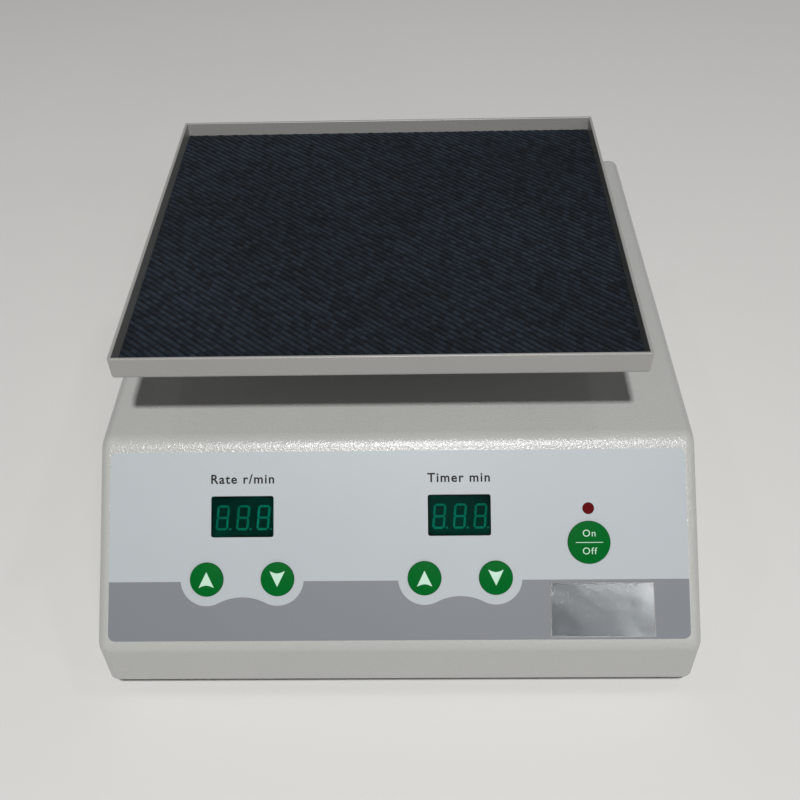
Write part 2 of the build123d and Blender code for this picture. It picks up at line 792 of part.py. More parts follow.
for sx, side in ((-1, "left"), (1, "right")):
    add(f"bearing_post_{side}", bearing_post(sx))
    add(f"bushing_{side}", bushing(sx))
post_screw = pan_screw(m4_radius, m4_head_radius, m4_head_height,
                       post_foot_thickness + housing_wall + nut_height + screw_tip)
add("post_screws", [Pos(x, y, top_z + post_foot_thickness) * post_screw for x, y in post_screw_places])


# Crank on the motor's output shaft
crank_pin_end = tray_x - lever_half - pin_head_gap - pin_head_thickness
roller_half = lever_half - roller_side_gap


def crank_disc():
    disc = x_rod(crank_throw + crank_rim, crank_x0, crank_x1, tray_center_y, crank_z)
    disc -= x_rod(output_shaft_radius + fixed_gap, crank_x0 - over, crank_x1 + over, tray_center_y, crank_z)
    disc -= x_rod(crank_pin_radius + fixed_gap, crank_x0 - over, crank_x1 + over, tray_center_y,
                  crank_z + crank_throw)
    return disc - y_rod(m3_radius + fixed_gap, tray_center_y - crank_throw - crank_rim - over,
                        tray_center_y, (crank_x0 + crank_x1) / 2, crank_z)


def crank_pin():
    """Pin with a head that keeps the roller on."""
    z = crank_z + crank_throw
    return (x_rod(crank_pin_radius, crank_pin_end, crank_x1, tray_center_y, z)
            + x_rod(crank_pin_radius + pin_head_width, crank_pin_end,
                    crank_pin_end + pin_head_thickness, tray_center_y, z))


add("crank_disc", crank_disc())
add("crank_pin", crank_pin())
add("crank_roller", x_tube(roller_radius, crank_pin_radius + fixed_gap, tray_x - roller_half,
                           tray_x + roller_half, tray_center_y, crank_z + crank_throw))
add("crank_screw", set_screw((crank_x0 + crank_x1) / 2, crank_z, output_shaft_radius + fixed_gap,
                             crank_throw + crank_rim))
output_shaft_end = gearbox_x0 + gearbox_length / 2
add("output_shaft", x_rod(output_shaft_radius, crank_x0, output_shaft_end, tray_center_y, crank_z))


# Gear motor and its bracket
def ring_of_screws():
    """Places (y, z) of the gearbox's face screws."""
    radius = gearbox_screw_circle / 2
    return [(tray_center_y + radius * cos(radians(a)), gearbox_z + radius * sin(radians(a)))
            for a in gearbox_screw_angles]


def gearbox():
    body = x_rod(gearbox_radius, gearbox_x0, gearbox_x1, tray_center_y, gearbox_z)
    body += x_rod(gearbox_boss_radius, boss_end_x, gearbox_x0, tray_center_y, crank_z)
    body -= x_rod(output_shaft_radius + running_gap, boss_end_x - over, output_shaft_end + free_gap,
                  tray_center_y, crank_z)
    for y, z in ring_of_screws():
        body -= x_rod(m3_radius + fixed_gap, gearbox_x0 - over, gearbox_x0 + face_hole_depth, y, z)
    return body


def motor_can():
    end = gearbox_x1 + motor_length
    can = x_rod(motor_radius, gearbox_x1, end, tray_center_y, gearbox_z)
    can = fillet([e for e in can.edges() if abs(e.center().X - end) < 0.01],
                 motor_end_radius)
    return can + x_rod(motor_boss_radius, end, end + motor_boss_length, tray_center_y, gearbox_z)


def motor_bracket():
    """Folded sheet: an upright face for the gearbox and a foot under it."""
    top = gearbox_z + gearbox_radius + bracket_top_margin
    half = bracket_width / 2
    body = block(bracket_x0, gearbox_x0, tray_center_y - half, tray_center_y + half, base_top_z, top)
    body += block(bracket_x0, gearbox_x0 + bracket_foot_length, tray_center_y - half,
                  tray_center_y + half, base_top_z, base_top_z + bracket_sheet)
    body -= x_rod(gearbox_boss_radius + free_gap, bracket_x0 - over, gearbox_x0 + over,
                  tray_center_y, crank_z)
    for y, z in ring_of_screws():
        body -= x_rod(m3_radius + screw_hole_gap, bracket_x0 - over, gearbox_x0 + over, y, z)
    for x, y in bracket_screw_places:
        body -= z_rod(m4_radius + screw_hole_gap, x, y, base_top_z - over, base_top_z + bracket_sheet + over)
    return body


add("gearbox", gearbox())
add("motor_can", motor_can())
add("motor_bracket", motor_bracket())
face_screw = Rot(0, -90, 0) * pan_screw(m3_radius, m3_head_radius, m3_head_height,
                                      bracket_sheet + face_screw_reach)
add("gearbox_screws", [Pos(bracket_x0, y, z) * face_screw for y, z in ring_of_screws()])
bracket_screw = pan_screw(m4_radius, m4_head_radius, m4_head_height,
                          base_thickness + bracket_sheet + nut_height + screw_tip)
add("bracket_screws", [Pos(x, y, base_z) * upside_down * bracket_screw
                       for x, y in bracket_screw_places])
nut_places = ([(x, y, base_top_z) for x, y in foot_places]
              + [(x, y, base_top_z + bracket_sheet) for x, y in bracket_screw_places]
              + [(x, y, inner_top_z - nut_height) for x, y in post_screw_places])
add("m4_nuts", [Pos(*place) * m4_nut for place in nut_places])


# Power supply board on spacers
def supply_board():
    board = Pos(supply_x, supply_y, 0) * rounded_plate(supply_width, supply_length,
                                                       board_corner_radius, supply_board_z,
                                                       supply_board_top)
    for x, y in supply_places:
        board -= z_rod(m3_radius + screw_hole_gap, x, y, supply_board_z - over, supply_board_top + over)
    return board


def supply_components():
    """Transformer, capacitors, two heat sinks and two terminal blocks."""
    blocks = [(transformer_size, 0, 0)]
    blocks += [(heat_sink_size, sx * heat_sink_x, 0) for sx in (-1, 1)]
    blocks += [(terminal_size, 0, sy * terminal_y) for sy in (-1, 1)]
    cans = [(big_cap_radius, big_cap_height, 0, big_cap_y)]
    cans += [(small_cap_radius, small_cap_height, x, y) for x, y in small_cap_places]
    shapes = [centred_block(supply_x + x, supply_y + y, width, depth, supply_board_top,
                            supply_board_top + height)
              for (width, depth, height), x, y in blocks]
    shapes += [z_rod(radius, supply_x + x, supply_y + y, supply_board_top, supply_board_top + height)
               for radius, height, x, y in cans]
    return shapes


add("supply_board", supply_board())
add("supply_components", supply_components())
supply_spacer = (z_rod(spacer_radius, 0, 0, base_top_z, supply_board_z)
                 - z_rod(m3_radius + fixed_gap, 0, 0, 0, supply_board_z + over))
add("supply_spacers", [Pos(x, y, 0) * supply_spacer for x, y in supply_places])


# Mains inlet and power switch in the back wall
def chamfered_socket(width, height, y0, y1):
    """The socket's outline with its two upper corners cut off."""
    body = block(-width / 2, width / 2, y0, y1, -height / 2, height / 2)
    upper = [e for e in body.edges().filter_by(Axis.Y) if e.center().Z > 0]
    return chamfer(upper, socket_chamfer)


def power_inlet():
    flange_y = back_y + inlet_flange_thickness
    body = block(-inlet_body_width / 2, inlet_body_width / 2, back_y - inlet_body_depth, back_y,
                 -inlet_body_height / 2, inlet_body_height / 2)
    flange = extrude(RectangleRounded(inlet_flange_width, inlet_flange_height, inlet_corner_radius),
                     inlet_flange_thickness)
    body += Pos(0, flange_y, 0) * Rot(90, 0, 0) * flange
    body -= chamfered_socket(inlet_socket_width, inlet_socket_height, flange_y - inlet_socket_depth,
                             flange_y + over)
    for sx in (-1, 1):
        body -= y_rod(m3_radius + screw_hole_gap, back_y - over, flange_y + over,
                      sx * inlet_screw_spacing / 2, 0)
    return Pos(inlet_x, 0, inlet_z) * body


def inlet_pin(dx, dz):
    floor_y = back_y + inlet_flange_thickness - inlet_socket_depth
    return Pos(inlet_x + dx, 0, inlet_z + dz) * block(-pin_thickness / 2, pin_thickness / 2, floor_y,
                                                      floor_y + pin_length, -pin_height / 2,
                                                      pin_height / 2)


def switch_frame():
    """Bezel and body of the power switch, hollow where its rocker moves."""
    front = back_y + power_switch_bezel
    body = block(-power_switch_body_width / 2, power_switch_body_width / 2,
                 back_y - power_switch_body_depth, back_y, -power_switch_body_height / 2,
                 power_switch_body_height / 2)
    bezel = extrude(RectangleRounded(power_switch_width, power_switch_height, bezel_corner_radius),
                    power_switch_bezel)
    body += Pos(0, front, 0) * Rot(90, 0, 0) * bezel
    hole_half_width = rocker_width / 2 + rocker_gap
    hole_half_height = hypot(rocker_length / 2, rocker_rise)
    pivot_y = back_y + rocker_pivot_out
    body -= block(-hole_half_width, hole_half_width, pivot_y - rocker_depth - rocker_hole_gap, front + over,
                  -hole_half_height, hole_half_height)
    pin_reach = rocker_width / 2 + rocker_pin_length + rocker_gap
    body -= x_rod(rocker_pin_radius + running_gap, -pin_reach, pin_reach, pivot_y, 0)
    return Pos(power_switch_x, 0, inlet_z) * body


def switch_rocker():
    """The rocker at off, its lower side pressed in, with a pin at each end of its pivot."""
    half = rocker_length / 2
    outline = Polyline((rocker_rise, -half), (rocker_rise - rocker_dip, 0), (rocker_rise, half),
                       (-rocker_edge_depth, half - rocker_edge_taper),
                       (-rocker_depth, rocker_foot_half), (-rocker_depth, -rocker_foot_half),
                       (-rocker_edge_depth, -half + rocker_edge_taper), close=True)
    body = extrude(make_face(Plane.YZ * outline), rocker_width / 2, both=True)
    pin_reach = rocker_width / 2 + rocker_pin_length
    body += x_rod(rocker_pin_radius, -pin_reach, pin_reach, 0, 0)
    return Pos(power_switch_x, back_y + rocker_pivot_out, inlet_z) * Rot(-rocker_tilt, 0, 0) * body


add("power_inlet", power_inlet())
add("inlet_pins", [inlet_pin(-pin_spacing, -pin_height / 2), inlet_pin(pin_spacing, -pin_height / 2),
                   inlet_pin(0, pin_height / 2)])
inlet_screw = Rot(-90, 0, 0) * pan_screw(m3_radius, m3_head_radius, m3_head_height,
                                         inlet_flange_thickness + housing_wall + thread_reach)
add("inlet_screws", [Pos(x, back_y + inlet_flange_thickness, inlet_z) * inlet_screw
                     for x in inlet_screw_places])
add("power_switch_frame", switch_frame())
add("power_switch_rocker", switch_rocker())


os.makedirs("parts", exist_ok=True)
for name, shape in parts.items():
    export_step(shape, f"parts/{name}.step")
print("nodes", len(parts), "shaft at", tray_x, tray_center_y, shaft_z, "crank height", crank_z)
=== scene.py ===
import json
from math import atan2, cos, pi, radians, sin, sqrt, tan

import bmesh
import bpy
from mathutils import Matrix, Vector, noise


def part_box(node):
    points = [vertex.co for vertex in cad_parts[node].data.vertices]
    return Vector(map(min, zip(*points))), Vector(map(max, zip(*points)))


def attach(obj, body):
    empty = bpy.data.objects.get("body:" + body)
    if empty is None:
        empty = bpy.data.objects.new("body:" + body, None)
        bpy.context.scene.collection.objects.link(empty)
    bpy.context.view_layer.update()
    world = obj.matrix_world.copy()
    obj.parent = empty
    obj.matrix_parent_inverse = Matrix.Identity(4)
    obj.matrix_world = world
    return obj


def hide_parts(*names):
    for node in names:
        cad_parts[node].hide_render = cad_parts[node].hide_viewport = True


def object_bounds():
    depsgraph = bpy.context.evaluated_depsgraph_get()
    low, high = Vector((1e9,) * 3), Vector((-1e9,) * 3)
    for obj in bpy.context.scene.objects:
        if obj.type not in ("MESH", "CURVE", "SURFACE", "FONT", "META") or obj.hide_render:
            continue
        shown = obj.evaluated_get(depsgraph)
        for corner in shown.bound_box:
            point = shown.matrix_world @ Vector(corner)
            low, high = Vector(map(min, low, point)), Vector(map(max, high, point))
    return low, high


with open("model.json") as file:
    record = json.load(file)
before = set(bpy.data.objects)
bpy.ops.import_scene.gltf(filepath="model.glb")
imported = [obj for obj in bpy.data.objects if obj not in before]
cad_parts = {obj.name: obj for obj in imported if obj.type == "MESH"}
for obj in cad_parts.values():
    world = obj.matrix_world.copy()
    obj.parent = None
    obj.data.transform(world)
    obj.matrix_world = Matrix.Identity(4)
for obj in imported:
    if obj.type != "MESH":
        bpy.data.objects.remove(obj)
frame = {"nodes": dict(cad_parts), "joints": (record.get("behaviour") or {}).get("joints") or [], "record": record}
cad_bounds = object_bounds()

# Looks of the rocker shaker. Sizes are in millimetres and times MM where they become metres.
MM = 0.001

# The grey band printed on the keypad, from the film's lower edge, and its dips round the keys
PRINT_THICKNESS = 0.02
BAND_TOP = 21.3
BAND_CORNER = 2.4
SCALLOP_RADIUS = 9.6
WAVE_DROP = 6.5

# The words over the windows. Their spacing is in times the font's own, and their added weight and
# the height of the font's capitals are shares of a height.
CAPTION_HEIGHT = 3.2
CAPTION_SPACING = 1.17
CAPTION_WEIGHT = 0.03
CAPTION_GAP = 6.1
CAPITAL_SHARE = 0.682

# The marks on the keys. The arrow's notch bends at shares of its half width and of its depth.
KEY_INK_THICKNESS = 0.04
KEY_WORD_HEIGHT = 2.4
KEY_WORD_SPACING = 1.16
KEY_WORD_RISE = 3.2
KEY_LINE_LENGTH = 9.8
KEY_LINE_WIDTH = 0.24
ARROW_WIDTH = 5.6
ARROW_HEIGHT = 5.7
ARROW_TIP_RISE = 2.736
ARROW_NOTCH = 0.9
NOTCH_BEND = (0.45, 0.75)

# Seven-segment digits, their points, and their shift from the window's middle
DIGIT_THICKNESS = 0.05
DIGIT_PITCH = 7.5
DIGIT_WIDTH = 4.6
DIGIT_HEIGHT = 9.14
DIGIT_STROKE = 0.8
DIGIT_SLANT = radians(5)
DIGIT_SHIFT = (0.2, -0.4)
BAR_GAP = 0.12
POINT_OFFSET = 1.2
POINT_RADIUS = 0.384

# Twill of the mat. A rib's section is in shares of its pitch and of its height. The ribs wave
# slowly to the side, and dip here and there by a share of their height.
RIB_PITCH = 2.3
RIB_HEIGHT = 0.42
RIB_ANGLE = radians(-41)
RIB_SECTION = ((0.0, 0.0), (0.16, 0.62), (0.34, 0.94), (0.5, 1.0), (0.66, 0.94), (0.84, 0.62))
RIB_STEPS = 48
WAVE_LENGTH = 22
WAVE_SIZE = 0.35
DIP_LENGTH = 6
DIP_SHARE = 0.12
FLAT_BORDER = 1.8
FLOAT_LENGTH = 2.8

# The clear film: how high it lies, its ripples, which are closer up the slope than across, and the
# share of its lower and of its upper half that curls up. The slice picks the ripples' pattern.
LABEL_LIFT = 0.10
RIPPLE_HEIGHT = 0.03
RIPPLE_LENGTH = 7.0
RIPPLE_SQUEEZE = 1.3
RIPPLE_SLICE = 3.7
CURL_HEIGHT = 0.015
CURLED_SHARE = 0.2
LABEL_COLUMNS = 76
LABEL_ROWS = 40

# The power switch's marks, from its pivot. The rocker's two faces lean in towards its middle, by
# 1.4 in 7.
SWITCH_INK_THICKNESS = 0.06
MARK_OUT = 2.9
MARK_RISE = 3.5
MARK_LINE_WIDTH = 0.6
MARK_LINE_LENGTH = 2.6
MARK_RING_RADIUS = 1.5
MARK_RING_HOLE = 0.95
ROCKER_LEAN = atan2(1.4, 7)

# Studio, in metres: the even light all round, the floor, and each lamp's name, direction, side and
# power
EVEN_LIGHT = 0.07
FLOOR_HALF_WIDTH = 4
LAMP_DISTANCE = 2.2
LAMPS = (("front_lamp", (0.024, -0.571, 1.0), 0.13, 40.0),
         ("top_left_lamp", (-0.50, 0.03, 1.0), 0.09, 1.0),
         ("top_right_lamp", (0.50, 0.03, 1.0), 0.09, 1.4),
         ("film_lamp", (0.28, -0.72, 0.63), 0.11, 2.0),
         ("edge_lamp", (0.78, -0.48, 0.40), 0.10, 1.5),
         ("corner_lamp", (0.30, -0.90, 0.35), 0.10, 1.4))

# The camera's place, its turns and its lens
EYE = (9.6, -326.2, 341.9)
CAMERA_YAW = radians(-1.74)
CAMERA_PITCH = radians(43.85)
CAMERA_ROLL = radians(1.80)
LENS = 44.6


# Nodes and colours
def linear(hex_colour):
    """An sRGB hex colour as linear RGBA."""
    channels = [int(hex_colour[i:i + 2], 16) / 255 for i in (1, 3, 5)]
    return [c / 12.92 if c <= 0.04045 else ((c + 0.055) / 1.055) ** 2.4 for c in channels] + [1.0]


def add_node(tree, kind, settings=None, links=None):
    """Adds a node with its settings (sockets or properties) and its links from other sockets."""
    node = tree.nodes.new(kind)
    for name, value in (settings or {}).items():
        if isinstance(name, int) or name in node.inputs:
            node.inputs[name].default_value = value
        else:
            setattr(node, name, value)
    for name, source in (links or {}).items():
        tree.links.new(source, node.inputs[name])
    return node


def per_mm(size):
    """A texture's scale for features of this size in millimetres."""
    return 1 / (size * MM)


def start_material(name, settings):
    """A material with its shader's fixed values set on the shader's own sockets, and the point on
    the object, in metres, for its patterns."""
    material = bpy.data.materials.new(name)
    material.use_nodes = True
    tree = material.node_tree
    shader = tree.nodes["Principled BSDF"]
    for socket, value in settings.items():
        shader.inputs[socket].default_value = value
    place = add_node(tree, "ShaderNodeTexCoord").outputs["Object"]
    return material, tree, shader, place


def finish_shader(tree, shader, dark, light, pattern, bump=None):
    """Colours a shader between two hex colours by a pattern, and gives it its bump, if any."""
    tone = add_node(tree, "ShaderNodeMix", {"data_type": "RGBA", 6: linear(dark), 7: linear(light)},
                    {0: pattern})
    tree.links.new(tone.outputs[2], shader.inputs["Base Color"])
    if bump:
        tree.links.new(bump.outputs[0], shader.inputs["Normal"])


# Materials
def powder_coat(name, dark, light, peel, peel_depth, roughness):
    """Polyester powder coat, sprayed and baked on sheet steel: a satin skin with an orange peel of
    small round swells, which breaks each highlight into sparks, and a faint drift of tone."""
    material, tree, shader, place = start_material(name, {"Roughness": roughness, "IOR": 1.5,
                                                          "Coat Weight": 0.12,
                                                          "Coat Roughness": 0.2})
    drift = add_node(tree, "ShaderNodeTexNoise", {"Scale": per_mm(60), "Detail": 2},
                     {"Vector": place})
    swells = add_node(tree, "ShaderNodeTexNoise", {"Scale": per_mm(peel), "Detail": 1.5,
                                                   "Roughness": 0.45}, {"Vector": place})
    # Smaller grains on the swells, 0.4 times as wide and 0.7 times as high
    grains = add_node(tree, "ShaderNodeTexNoise", {"Scale": per_mm(peel * 0.4), "Detail": 1},
                      {"Vector": place})
    both = add_node(tree, "ShaderNodeMath", {"operation": "MULTIPLY_ADD", 1: 0.7},
                    {0: grains.outputs[0], 2: swells.outputs[0]})
    bump = add_node(tree, "ShaderNodeBump", {"Strength": 1.0, "Distance": peel_depth * MM},
                    {"Height": both.outputs[0]})
    finish_shader(tree, shader, dark, light, drift.outputs[0], bump)
    tree.links.new(bump.outputs[0], shader.inputs["Coat Normal"])
    return material


def twill_cloth():
    """Heavy woven twill in a blue-black dye: matt yarn with a little sheen, painted paler on top of each
    diagonal rib as lit and in drifting patches of wear, with painted shade nearly black between the
    ribs, each rib broken into short floats of yarn."""
    material, tree, shader, place = start_material("twill_cloth", {
        "Roughness": 0.9, "IOR": 1.45, "Specular IOR Level": 0.2,
        "Sheen Weight": 0.11, "Sheen Roughness": 0.5, "Sheen Tint": linear("#A9B4C2")})
    turned = add_node(tree, "ShaderNodeMapping", {"Rotation": (0, 0, -RIB_ANGLE)},
                      {"Vector": place})
    floats = add_node(tree, "ShaderNodeTexBrick",
                      {"Scale": 1.0, "Brick Width": FLOAT_LENGTH * MM, "Row Height": RIB_PITCH * MM,
                       "Mortar Size": 0.16 * MM, "Mortar Smooth": 1.0, "Bias": 0.0,
                       "Color1": linear("#FFFFFF"), "Color2": linear("#9A9A9A"),
                       "Mortar": linear("#404040"), "offset": 0.5},
                      {"Vector": turned.outputs[0]})
    fuzz = add_node(tree, "ShaderNodeTexNoise", {"Scale": per_mm(0.5), "Detail": 3},
                    {"Vector": place})
    drift = add_node(tree, "ShaderNodeTexNoise", {"Scale": per_mm(45), "Detail": 2},
                     {"Vector": place})
    # The mesh holds how high each point lies on its rib; low points are painted nearly black as shade between the
    # ribs
    rib = add_node(tree, "ShaderNodeAttribute", {"attribute_name": "rib_height"})
    # The rib tops' tone: painted paler as lit, and drifting paler in patches of wear
    wear_and_lit_rib_tops = add_node(tree, "ShaderNodeMix", {"data_type": "RGBA", 6: linear("#161D25"),
                                            7: linear("#2D3743")}, {0: drift.outputs[0]})
    # Painted shade: the cloth darkens to nearly black where the rib is low
    painted_rib_shade = add_node(tree, "ShaderNodeMix", {"data_type": "RGBA", 6: linear("#080B0E")},
                    {0: rib.outputs["Fac"], 7: wear_and_lit_rib_tops.outputs[2]})
    yarn = add_node(tree, "ShaderNodeMix", {"data_type": "RGBA", "blend_type": "MULTIPLY", 0: 0.85},
                    {6: painted_rib_shade.outputs[2], 7: floats.outputs["Color"]})
    tree.links.new(yarn.outputs[2], shader.inputs["Base Color"])
    # The yarn's fuzz counts for half as much as its floats
    height = add_node(tree, "ShaderNodeMath", {"operation": "MULTIPLY_ADD", 1: 0.5},
                      {0: fuzz.outputs[0], 2: floats.outputs["Color"]})
    bump = add_node(tree, "ShaderNodeBump", {"Strength": 0.9, "Distance": 0.12 * MM},
                    {"Height": height.outputs[0]})
    tree.links.new(bump.outputs[0], shader.inputs["Normal"])
    return material


def printed_film(name, dark, light, roughness=0.42):
    """Screen-printed polyester film with a fine matt texture on its face: an even colour under a
    soft, broad shine."""
    material, tree, shader, place = start_material(name, {"Roughness": roughness, "IOR": 1.5,
                                                          "Specular IOR Level": 0.25})
    drift = add_node(tree, "ShaderNodeTexNoise", {"Scale": per_mm(50), "Detail": 2},
                     {"Vector": place})
    grain = add_node(tree, "ShaderNodeTexNoise", {"Scale": per_mm(0.35), "Detail": 2},
                     {"Vector": place})
    bump = add_node(tree, "ShaderNodeBump", {"Strength": 0.5, "Distance": 0.01 * MM},
                    {"Height": grain.outputs[0]})
    finish_shader(tree, shader, dark, light, drift.outputs[0], bump)
    return material


def tinted_pane():
    """Green-tinted window of the film: the dark display shows through a faint shine. Its low IOR
    stands for its anti-glare coat, since a bare pane would mirror the lamps."""
    material, tree, shader, place = start_material("tinted_pane", {"Roughness": 0.2, "IOR": 1.1,
                                                                   "Specular IOR Level": 0.06,
                                                                   "Transmission Weight": 1.0})
    clouds = add_node(tree, "ShaderNodeTexNoise", {"Scale": per_mm(8)}, {"Vector": place})
    finish_shader(tree, shader, "#2AC2B9", "#33CDC4", clouds.outputs[0])
    return material


def clear_film():
    """Clear vinyl, stuck on by hand: it shows only by the glints on its ripples and edges."""
    material, tree, shader, place = start_material("clear_film", {
        "Roughness": 0.16, "IOR": 1.5, "Specular IOR Level": 0.012, "Transmission Weight": 1.0,
        "Base Color": linear("#F4F6F7")})
    creases = add_node(tree, "ShaderNodeTexNoise", {"Scale": per_mm(2.5), "Detail": 3,
                                                    "Distortion": 1.2}, {"Vector": place})
    bump = add_node(tree, "ShaderNodeBump", {"Strength": 0.5, "Distance": 0.05 * MM},
                    {"Height": creases.outputs[0]})
    tree.links.new(bump.outputs[0], shader.inputs["Normal"])
    return material


def smooth_plastic(name, dark, light, roughness, grain, depth, shine=0.5):
    """Moulded plastic: one even colour, with the mould's fine grain in its shine."""
    material, tree, shader, place = start_material(name, {"Roughness": roughness, "IOR": 1.5,
                                                          "Specular IOR Level": shine})
    spots = add_node(tree, "ShaderNodeTexNoise", {"Scale": per_mm(grain), "Detail": 3},
                     {"Vector": place})
    bump = add_node(tree, "ShaderNodeBump", {"Strength": 0.6, "Distance": depth * MM},
                    {"Height": spots.outputs[0]})
    finish_shader(tree, shader, dark, light, spots.outputs[0], bump)
    return material


def worked_metal(name, dark, light, roughness, grain, stretch=(1, 1, 1)):
    """Bare or plated metal: the tool's or the plating's fine marks, stretched along the work."""
    material, tree, shader, place = start_material(name, {"Metallic": 1.0})
    along = add_node(tree, "ShaderNodeMapping", {"Scale": stretch}, {"Vector": place})
    marks = add_node(tree, "ShaderNodeTexNoise", {"Scale": per_mm(grain), "Detail": 4},
                     {"Vector": along.outputs[0]})
    rough = add_node(tree, "ShaderNodeMapRange", {"To Min": roughness * 0.8,
                                                  "To Max": roughness * 1.25},
                     {"Value": marks.outputs[0]})
    tree.links.new(rough.outputs[0], shader.inputs["Roughness"])
    bump = add_node(tree, "ShaderNodeBump", {"Strength": 0.3, "Distance": 0.02 * MM},
                    {"Height": marks.outputs[0]})
    finish_shader(tree, shader, dark, light, marks.outputs[0], bump)
    return material


def circuit_laminate():
    """Glass-fibre laminate under green solder resist, with the weave just showing."""
    material, tree, shader, place = start_material("circuit_laminate", {"Roughness": 0.35,
                                                                        "IOR": 1.5})
    weave = add_node(tree, "ShaderNodeTexChecker", {"Scale": per_mm(1.2)}, {"Vector": place})
    finish_shader(tree, shader, "#0F4A26", "#125530", weave.outputs[1])
    return material


def pale_floor():
    """Matt paper backdrop: nearly even, with a slow cloud of tone."""
    material, tree, shader, place = start_material("pale_floor", {"Roughness": 0.9})
    cloud = add_node(tree, "ShaderNodeTexNoise", {"Scale": per_mm(500)}, {"Vector": place})
    finish_shader(tree, shader, "#DAD9D6", "#DDDCD9", cloud.outputs[0])
    return material


white_print = printed_film("printed_film_white", "#AAB0B3", "#B0B6B9")
grey_print = printed_film("printed_film_grey", "#777B80", "#7C7F84")
dark_print = printed_film("caption_ink", "#060607", "#0B0B0C", 0.6)
pale_print = printed_film("key_ink", "#B4D6C0", "#BEDCC9")
mark_ink = printed_film("switch_mark_ink", "#E4E4E0", "#EDEDEA")
unlit_segment = smooth_plastic("unlit_segment", "#4CCBAF", "#56D3B8", 0.6, 0.8, 0.01, 0.05)
turned_steel = worked_metal("ground_steel_shaft", "#9C9EA0", "#B6B8B9", 0.22, 0.8, (8, 1, 1))

# The finish of each material slot of the record, and of the nodes that differ from their slot
FINISHES = {
    "housing_paint": powder_coat("powder_coat_housing", "#AEAEAB", "#B5B5B2", 0.85, 0.12, 0.25),
    "tray_paint": powder_coat("powder_coat_tray", "#999895", "#9E9D9A", 0.9, 0.05, 0.32),
    "film_print": white_print,
    "green_window": tinted_pane(),
    "display_face": smooth_plastic("display_face", "#064B46", "#09554E", 0.6, 1.2, 0.01, 0.05),
    "key_green": smooth_plastic("key_silicone", "#005B1E", "#006124", 0.5, 2.0, 0.015, 0.03),
    "red_lens": smooth_plastic("lamp_lens", "#500204", "#5C0306", 0.4, 1.5, 0.01, 0.03),
    "black_plastic": smooth_plastic("moulded_nylon_black", "#17181A", "#222325", 0.5, 0.6, 0.03),
    "foot_rubber": smooth_plastic("foot_rubber", "#1A1A1B", "#262627", 0.8, 0.9, 0.05),
    "clear_film": clear_film(),
    "mat_fabric": twill_cloth(),
    "circuit_board": circuit_laminate(),
    "zinc_sheet": worked_metal("galvanised_sheet", "#9EA3A6", "#B7BBBD", 0.42, 6),
    "screw_steel": worked_metal("zinc_plated_steel", "#A9ABAB", "#C4C5C3", 0.3, 1.5),
    "motor_steel": worked_metal("plated_motor_steel", "#8D9092", "#A5A8AA", 0.33, 2.0),
    "aluminium": worked_metal("milled_aluminium", "#B4B6B8", "#C9CACC", 0.34, 1.2, (1, 1, 6)),
    "bronze": worked_metal("sintered_bronze", "#8A6A3C", "#A58350", 0.5, 0.5),
    "brass": worked_metal("turned_brass", "#B08D4A", "#C6A45C", 0.3, 0.9),
}
NODE_FINISHES = {"rocking_shaft": turned_steel, "output_shaft": turned_steel,
                 "crank_roller": turned_steel}


def dress(obj, material):
    """Gives an object this material alone."""
    obj.data.materials.clear()
    obj.data.materials.append(material)


def dress_cad_nodes():
    """Each node of the frame takes the finish of its own material slot."""
    slots = {s["node"]: s["material_slot"] for s in frame["record"]["subparts"]}
    for node, obj in frame["nodes"].items():
        dress(obj, NODE_FINISHES.get(node) or FINISHES[slots[node]])


# Places on the sloping keypad, all from the frame
def joint(name):
    """The joint of this name."""
    return next(j for j in frame["joints"] if j["name"] == name)


def reach(node, direction):
    """The least and the greatest distance that a node reaches along a direction."""
    along = [v.co.dot(direction) for v in frame["nodes"][node].data.vertices]
    return min(along), max(along)


def turned_frame(x_axis, y_axis, z_axis, origin):
    """A matrix from its three directions and its origin."""
    turn = Matrix((x_axis, y_axis, z_axis)).transposed().to_4x4()
    return Matrix.Translation(origin) @ turn


ACROSS = Vector((1, 0, 0))
OUTWARD = -Vector(joint("start_stop_press")["axis"]).normalized()
UPWARD = OUTWARD.cross(ACROSS)
FILM_LOW = reach("panel_film", UPWARD)[0]
FILM_TOP = reach("panel_film", OUTWARD)[1]
KEYPAD = turned_frame(ACROSS, UPWARD, OUTWARD, UPWARD * FILM_LOW + OUTWARD * FILM_TOP)


def keypad_spot(node):
    """A node's middle and top on the keypad, in millimetres: across, up the slope, outward."""
    across, up, out = (reach(node, d) for d in (ACROSS, UPWARD, OUTWARD))
    return Vector((sum(across) / 2, sum(up) / 2 - FILM_LOW, out[1] - FILM_TOP)) / MM


# Meshes
def add_piece(name, mesh, material, body):
    """Links a finished mesh as a piece that rides on a body."""
    obj = bpy.data.objects.new(name, mesh)
    bpy.context.scene.collection.objects.link(obj)
    dress(obj, material)
    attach(obj, body)
    return obj


def curve_to_mesh(name, curve, place):
    """A curve's or a text's solid as a welded mesh, put in place."""
    source = bpy.data.objects.new(name, curve)
    bpy.context.scene.collection.objects.link(source)
    mesh = bpy.data.meshes.new_from_object(source)
    mesh.name = name
    bpy.data.objects.remove(source)
    mesh.transform(place)
    work = bmesh.new()
    work.from_mesh(mesh)
    bmesh.ops.remove_doubles(work, verts=work.verts, dist=0.001 * MM)
    work.to_mesh(mesh)
    work.free()
    return mesh


def outline_mesh(name, outlines, thickness, place):
    """A flat solid with these outlines, in millimetres, standing on the plane of place."""
    curve = bpy.data.curves.new(name, "CURVE")
    curve.dimensions = "2D"
    curve.fill_mode = "BOTH"
    curve.extrude = thickness * MM / 2
    for outline in outlines:
        spline = curve.splines.new("POLY")
        spline.points.add(len(outline) - 1)
        for point, (x, y) in zip(spline.points, outline):
            point.co = (x * MM, y * MM, 0, 1)
        spline.use_cyclic_u = True
    lift = Matrix.Translation((0, 0, thickness * MM / 2))
    return curve_to_mesh(name, curve, place @ lift)


